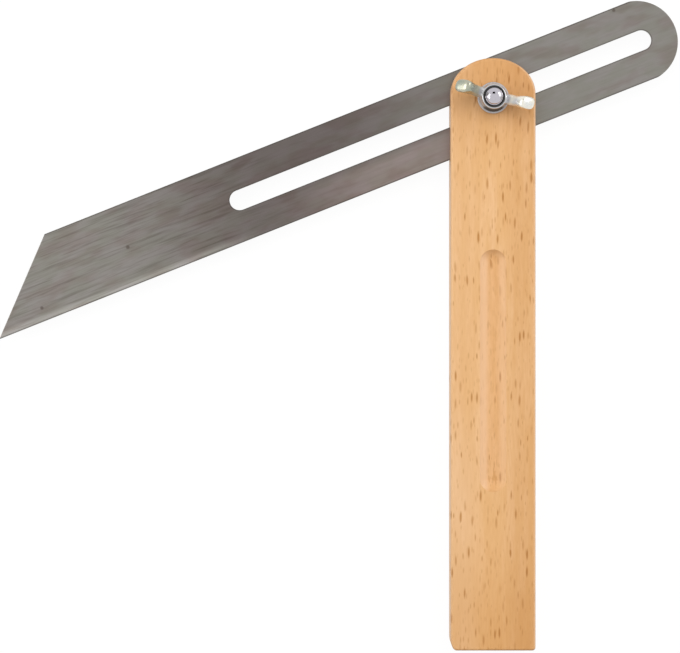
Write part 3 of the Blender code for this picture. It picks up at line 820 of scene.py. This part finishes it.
def ground_steel():
    """Tool steel strip, surface-ground along its length and left oiled. Grinding gives it long fine
    streaks, and storage a bloom of greenish and purplish grey with one broad dark patch, so it reads darker
    than bright steel. The streaks are drawn about three times as coarse as real grinding marks, or they
    would not show."""
    material, tree = new_material("ground_steel")
    mm, _ = own_place(tree)
    centred = add(tree, (mm, [1000 * p for p in pivot]), **FROM)[0]
    turn = {"Vector": centred, "Rotation": (0, 0, -blade_turn)}
    along = add(tree, turn, "ShaderNodeMapping", vector_type="POINT")[0]
    split = add(tree, (along,), "ShaderNodeSeparateXYZ")
    from_patch = add(tree, (add(tree, (split["X"], PATCH_MIDDLE), **LESS)[0],), **SIZE_OF)[0]
    dark = add(tree, (from_patch, *PATCH_FADE), **EASE)[0]
    low_rail = add(tree, (split["Y"], *RAIL_FADE), **EASE)[0]
    rail = add(tree, (low_rail, add(tree, (split["X"], *RAIL_REACH), **EASE)[0]), **TIMES)[0]
    rail = add(tree, (rail, add(tree, (split["X"], *RAIL_END), **EASE)[0]), **TIMES)[0]
    low_edge = add(tree, (split["Y"], *RUB_FADE), **EASE)[0]
    rub = add(tree, (low_edge, add(tree, (split["X"], *RUB_REACH), **EASE)[0]), **TIMES)[0]
    off_middle = add(tree, (split["Y"],), **SIZE_OF)[0]
    edge_line = add(tree, (off_middle, *EDGE_LINE), **EASE)[0]
    slot_middle = 1000 * (BOLT_FROM_SLOT_END - SLOT_LENGTH / 2)
    from_slot = add(tree, (add(tree, (split["X"], slot_middle), **LESS)[0],), **SIZE_OF)[0]
    past_straight = add(tree, (from_slot, 500 * (SLOT_LENGTH - SLOT_WIDTH)), **LESS)[0]
    past_straight = add(tree, (past_straight, 0.0), **LARGER)[0]
    from_slot_end = add(tree, (past_straight, split["Y"]), "ShaderNodeCombineXYZ")[0]
    off_slot = add(tree, (from_slot_end,), **LENGTH)["Value"]
    slot_line = add(tree, (off_slot, *SLOT_LINE), **EASE)[0]
    colour = linear("#8F8B87")
    for share, tone in (
        (dark, "#6E6664"),
        (rail, "#988B87"),
        (rub, "#BBB7B4"),
        (edge_line, "#55504C"),
        (slot_line, "#55504C"),
    ):
        colour = add(tree, {0: share, 6: colour, 7: linear(tone)}, **MIX)[2]
    by_point = add(tree, (split["X"], *STREAK_REACH), **EASE)[0]
    for tints, most in ((BLOOM_TINTS, 1.0), (GRIND_TINTS, by_point)):
        for size, seed, low, high, tint in tints:
            share = add(tree, (pattern(tree, along, size, seed=seed)[0], low, high, 0, most), **EASE)[0]
            colour = add(tree, {0: share, 6: colour, 7: linear(tint)}, **TINT)[2]
    face = 1000 * (blade_middle + BLADE_THICKNESS / 2)
    for x, y, reach in SPECKS:
        gap = add(tree, (mm, (x, y, face)), "ShaderNodeVectorMath", operation="DISTANCE")
        fade = [share * reach for share in SPECK_FADE]
        near = add(tree, (gap["Value"], *fade, 0, SPECK_SHARE), **EASE)[0]
        colour = add(tree, {0: near, 6: colour, 7: linear("#4F443E")}, **MIX)[2]
    rough = add(tree, (pattern(tree, along, GRIND, seed=1.7)[0], *STEEL_ROUGHNESS), **EASE)[0]
    scratch = pattern(tree, along, FINE_GRIND, seed=9.9, Detail=3.0)[0]
    bump = add(tree, {**GRIND_RELIEF, "Height": scratch}, "ShaderNodeBump")
    finish = {"Base Color": colour, "Metallic": 1.0, "Roughness": rough, "Normal": bump[0]}
    shader = add(tree, finish, "ShaderNodeBsdfPrincipled")
    add(tree, {"Surface": shader[0]}, "ShaderNodeOutputMaterial")
    return material


# The nut's own places in millimetres: how far out the hub ends and the ears begin, where its flank ends,
# its mouth, painted dark as shade, and the satin of the flank and of the ears' roots; how far to the right
# the greyer ear of painted shade gives way to the whiter ear of painted highlight; and how far up and on
# which side, the one away from the lights, the flank is painted dark as shade
HUB_EDGE = (4.9, 5.8)
FLANK_EDGE = (4.85, 5.2, 1.0, 0.0)
MOUTH_EDGE = (3.80, 3.60, 0.0, 0.9)
SATIN_START = (4.15, 4.35, 0.0, 0.65)
SATIN_END = (6.0, 8.0, 1.0, 0.0)
EAR_LIGHT_SIDE = (-2.0, 2.0, 0.0, 1.0)
SHADE_FOOT = (-0.05, 0.05, 0.0, 1.0)
SHADE_TOP = (6.6, 5.6, 0.0, 0.90)
SHADE_SIDE = (-2.6, -3.7, 0.15, 1.0)
NUT_SHADE = "#24211E"

# Cells of noise to a millimetre, in the plating's colour and in the forging, and where the colour's shows
CAST_CELLS = 0.35
CAST_SHOWS = (0.35, 0.65, 0.0, 1.0)
FORGED_CELLS = 1.6

# Roughness on the hub, over the forging's noise on the ears, in the satin and in the painted shade; the
# depth of the forging's unevenness, and its strength on the hub and on the ears
HUB_ROUGHNESS = 0.16
EAR_ROUGHNESS = (0.3, 0.7, 0.22, 0.36)
SATIN_ROUGHNESS = 0.5
SHADE_ROUGHNESS = 0.85
FORGED_DEPTH = 0.00006
FORGED_STRENGTH = (0.05, 0.30)


def bright_zinc():
    """Cold-forged steel, barrel-plated in bright zinc: whitish with a faint green and yellow passivation
    and a soft unevenness on the ears, smoother and greyer on the hub, whose rim is rubbed bright. Its flank
    and the roots of the ears are satin. The left ear is painted greyer and greener as shade, and the right
    whiter as a painted highlight. The mouth of the thread and the foot of the flank, most on the side away
    from the lights, are painted dark as shade."""
    material, tree = new_material("bright_zinc")
    mm, _ = own_place(tree)
    about = add(tree, (mm, (0, 1000 * pivot[1], 1000 * nut_low.z)), **FROM)[0]
    split = add(tree, (about,), "ShaderNodeSeparateXYZ")
    radius = add(tree, (add(tree, (about, (1, 1, 0)), **SCALED)[0],), **LENGTH)["Value"]
    cast = add(tree, {"Vector": mm, "Scale": CAST_CELLS, "Detail": 2.0}, "ShaderNodeTexNoise")[0]
    forged = add(tree, {"Vector": mm, "Scale": FORGED_CELLS, "Detail": 3.0}, "ShaderNodeTexNoise")[0]
    yellow = add(tree, (cast, *CAST_SHOWS), **EASE)[0]
    # Painted shade and highlight: the left ear is made greyer and greener, the right one whiter, as the
    # lights fall on them
    shaded_green_ear = add(tree, {0: yellow, 6: linear("#A3A99B"), 7: linear("#BDBBA8")}, **MIX)[2]
    lit_white_ear = add(tree, {0: yellow, 6: linear("#E2E3E0"), 7: linear("#EFEBDD")}, **MIX)[2]
    right = add(tree, (split["X"], *EAR_LIGHT_SIDE), **EASE)[0]
    colour = add(tree, {0: right, 6: shaded_green_ear, 7: lit_white_ear}, **MIX)[2]
    ears = add(tree, (radius, *HUB_EDGE, 0, 1), **EASE)[0]
    colour = add(tree, {0: ears, 6: linear("#C2C2C4"), 7: colour}, **MIX)[2]
    # Painted shade: the foot of the flank, most on the side away from the lights, and the thread's mouth are
    # painted dark
    flank_shade = [add(tree, (split["Z"], *fade), **EASE)[0] for fade in (SHADE_TOP, SHADE_FOOT)]
    flank_shade = add(tree, flank_shade, **TIMES)[0]
    flank_shade = add(tree, (flank_shade, add(tree, (split["Y"], *SHADE_SIDE), **EASE)[0]), **TIMES)[0]
    mouth_shade = add(tree, (radius, *MOUTH_EDGE), **EASE)[0]
    off_ears = add(tree, (radius, *FLANK_EDGE), **EASE)[0]
    painted_shade = add(tree, (add(tree, (flank_shade, mouth_shade), **LARGER)[0], off_ears), **TIMES)[0]
    colour = add(tree, {0: painted_shade, 6: colour, 7: linear(NUT_SHADE)}, **MIX)[2]
    unshaded = add(tree, (painted_shade, 0, 1, 1, 0), **EASE)[0]
    satin = [add(tree, (radius, *fade), **EASE)[0] for fade in (SATIN_START, SATIN_END)]
    satin = add(tree, satin, **TIMES)[0]
    metal = add(tree, (unshaded, add(tree, (1.0, satin), **LESS)[0]), **TIMES)[0]
    uneven = add(tree, (forged, *EAR_ROUGHNESS), **EASE)[0]
    rough = add(tree, {0: ears, 2: HUB_ROUGHNESS, 3: uneven}, **BLEND)[0]
    rough = add(tree, {0: satin, 2: rough, 3: SATIN_ROUGHNESS}, **BLEND)[0]
    rough = add(tree, {0: painted_shade, 2: rough, 3: SHADE_ROUGHNESS}, **BLEND)[0]
    strength = add(tree, (radius, *HUB_EDGE, *FORGED_STRENGTH), **EASE)[0]
    forging = {"Strength": strength, "Distance": FORGED_DEPTH, "Height": forged}
    bump = add(tree, forging, "ShaderNodeBump")
    finish = {
        "Base Color": colour,
        "Metallic": metal,
        "Roughness": rough,
        "Specular IOR Level": 0.2,
        "Normal": bump[0],
    }
    shader = add(tree, finish, "ShaderNodeBsdfPrincipled")
    add(tree, {"Surface": shader[0]}, "ShaderNodeOutputMaterial")
    return material


# Cells of noise to a millimetre on the washer and on the bolt, their roughness over it, and the washer's
# relief
STAIN_CELLS = 0.8
WASHER_ROUGHNESS = (0.3, 0.7, 0.38, 0.52)
WASHER_RELIEF = {"Strength": 0.15, "Distance": 0.00004}
HAZE_CELLS = 1.1
BOLT_ROUGHNESS = (0.3, 0.7, 0.07, 0.14)


def dull_zinc():
    """A stamped steel washer, zinc-plated and handled until the plating is a soft even grey, which is why
    it takes the nut's shadow as no mirror would."""
    material, tree = new_material("dull_zinc")
    mm, _ = own_place(tree)
    stain = add(tree, {"Vector": mm, "Scale": STAIN_CELLS, "Detail": 3.0}, "ShaderNodeTexNoise")[0]
    colour = add(tree, {0: stain, 6: linear("#A3A0A1"), 7: linear("#C9C6C7")}, **MIX)[2]
    rough = add(tree, (stain, *WASHER_ROUGHNESS), **EASE)[0]
    bump = add(tree, {**WASHER_RELIEF, "Height": stain}, "ShaderNodeBump")
    finish = {"Base Color": colour, "Metallic": 0.5, "Roughness": rough, "Normal": bump[0]}
    shader = add(tree, finish, "ShaderNodeBsdfPrincipled")
    add(tree, {"Surface": shader[0]}, "ShaderNodeOutputMaterial")
    return material


def polished_plate():
    """Rolled steel bolt, polished on its end and bright-plated: nearly a mirror, faintly lilac, with a
    little haze where the plating is thin."""
    material, tree = new_material("polished_plate")
    mm, _ = own_place(tree)
    haze = add(tree, {"Vector": mm, "Scale": HAZE_CELLS, "Detail": 3.0}, "ShaderNodeTexNoise")[0]
    colour = add(tree, {0: haze, 6: linear("#BAB6BE"), 7: linear("#C6C3CA")}, **MIX)[2]
    rough = add(tree, (haze, *BOLT_ROUGHNESS), **EASE)[0]
    finish = {"Base Color": colour, "Metallic": 1.0, "Roughness": rough}
    shader = add(tree, finish, "ShaderNodeBsdfPrincipled")
    add(tree, {"Surface": shader[0]}, "ShaderNodeOutputMaterial")
    return material


dress(make_stock(), "stock", "stock", lacquered_beech())
dress(make_blade(), "blade", "blade", ground_steel())
dress(make_bolt(), "bolt", "clamp_bolt", polished_plate())
dress(make_washer(), "washer", "washer", dull_zinc())
dress(make_nut(), "nut", "wing_nut", bright_zinc())


# Studio: a pale floor, a white surround, soft lights from the top, the right and the left of the picture,
# a black card, and the camera. Each light is its name, place, size and power, and whether gloss shows it
FLOOR_SIZE = (8.0, 8.0)
FLOOR_GAP = 0.0002
FLOOR_GLOW = 0.94
SURROUND = 0.41
LIGHTS = (
    ("key_light", (1.15, 0.55, 0.80), (0.90, 0.90), 4.5, True),
    ("top_light", (0.05, 0.50, 1.32), (1.20, 0.80), 9.3, False),
    ("side_light", (-0.95, 0.10, 0.95), (0.90, 0.40), 3.0, True),
    ("low_light", (-1.30, 0.10, 0.38), (0.70, 0.50), 1.6, True),
)
FLAG_PLACE = (-0.05, 0.58, 0.90)
FLAG_SIZE = (0.32, 0.36)
CAMERA_PLACE = (-0.05115, 0.00928, 1.209)
LENS = 188.8
SENSOR_WIDTH = 36.0
FARTHEST = 20.0


def seen_directly(tree):
    """1 for rays that show the background itself: from the camera, off gloss, or through glass."""
    ray = add(tree, (), "ShaderNodeLightPath")
    first = add(tree, (ray["Is Camera Ray"], ray["Is Glossy Ray"]), **LARGER)[0]
    return add(tree, (first, ray["Is Transmission Ray"]), **LARGER)[0]


def white_paper():
    """What sees the floor directly sees it glow white, a little darker in shadow."""
    material, tree = new_material("white_paper")
    paper = add(tree, {"Color": linear("#EDEDEB")}, "ShaderNodeBsdfDiffuse")
    shade = add(tree, {"Color": linear("#505050")}, "ShaderNodeBsdfDiffuse")
    glow = add(tree, {"Strength": FLOOR_GLOW}, "ShaderNodeEmission")
    lit = add(tree, (shade[0], glow[0]), "ShaderNodeAddShader")
    both = add(tree, (seen_directly(tree), paper[0], lit[0]), "ShaderNodeMixShader")
    add(tree, {"Surface": both[0]}, "ShaderNodeOutputMaterial")
    return material


def black_card():
    """Flat black paper."""
    material, tree = new_material("black_card")
    black = add(tree, {"Color": linear("#191919")}, "ShaderNodeBsdfDiffuse")
    add(tree, {"Surface": black[0]}, "ShaderNodeOutputMaterial")
    return material


def card(name, centre, size, material):
    """A level rectangle: its centre plus half its sizes, each way."""
    ways = np.array([(-1, -1, 0), (1, -1, 0), (1, 1, 0), (-1, 1, 0)])
    corners = np.array(centre) + ways * (*size, 0) / 2
    mesh = bpy.data.meshes.new(name)
    mesh.from_pydata(corners.tolist(), [], [range(4)])
    mesh.materials.append(material)
    made = bpy.data.objects.new(name, mesh)
    bpy.context.scene.collection.objects.link(made)
    return made


def make_world():
    """A white surround, which lights the tool only dimly."""
    world = bpy.data.worlds.new("surround")
    world.use_nodes = True
    tree = world.node_tree
    tree.nodes.clear()
    strength = add(tree, (seen_directly(tree), 0, 1, SURROUND, 1), "ShaderNodeMapRange")[0]
    background = add(tree, {"Color": (1, 1, 1, 1), "Strength": strength}, "ShaderNodeBackground")
    add(tree, {"Surface": background[0]}, "ShaderNodeOutputWorld")
    bpy.context.scene.world = world


def soft_light(name, place, size, power, in_gloss):
    """A softbox aimed at the tool, with its first size level and its second upright."""
    light = bpy.data.lights.new(name, "AREA")
    light.shape = "RECTANGLE"
    light.size, light.size_y = size
    light.energy = power
    lamp = bpy.data.objects.new(name, light)
    bpy.context.scene.collection.objects.link(lamp)
    lamp.location = place
    lamp.rotation_euler = (-lamp.location).to_track_quat("-Z", "Y").to_euler()
    lamp.visible_glossy = in_gloss


def black_flag():
    """A black card between the softboxes, which only gloss shows: the dark spot on the bolt's end."""
    flag = card("black_flag", FLAG_PLACE, FLAG_SIZE, black_card())
    flag.visible_camera = False
    flag.visible_diffuse = False
    flag.visible_transmission = False
    flag.visible_shadow = False


def make_camera():
    """A long lens that looks straight down on the tool."""
    camera = bpy.data.cameras.new("camera")
    camera.lens = LENS
    camera.sensor_width = SENSOR_WIDTH
    camera.clip_end = FARTHEST
    eye = bpy.data.objects.new("camera", camera)
    bpy.context.scene.collection.objects.link(eye)
    eye.location = CAMERA_PLACE
    bpy.context.scene.camera = eye


card("floor", (0, 0, -FLOOR_GAP), FLOOR_SIZE, white_paper())
make_world()
for light in LIGHTS:
    soft_light(*light)
black_flag()
make_camera()
bpy.context.scene.view_settings.view_transform = "Standard"
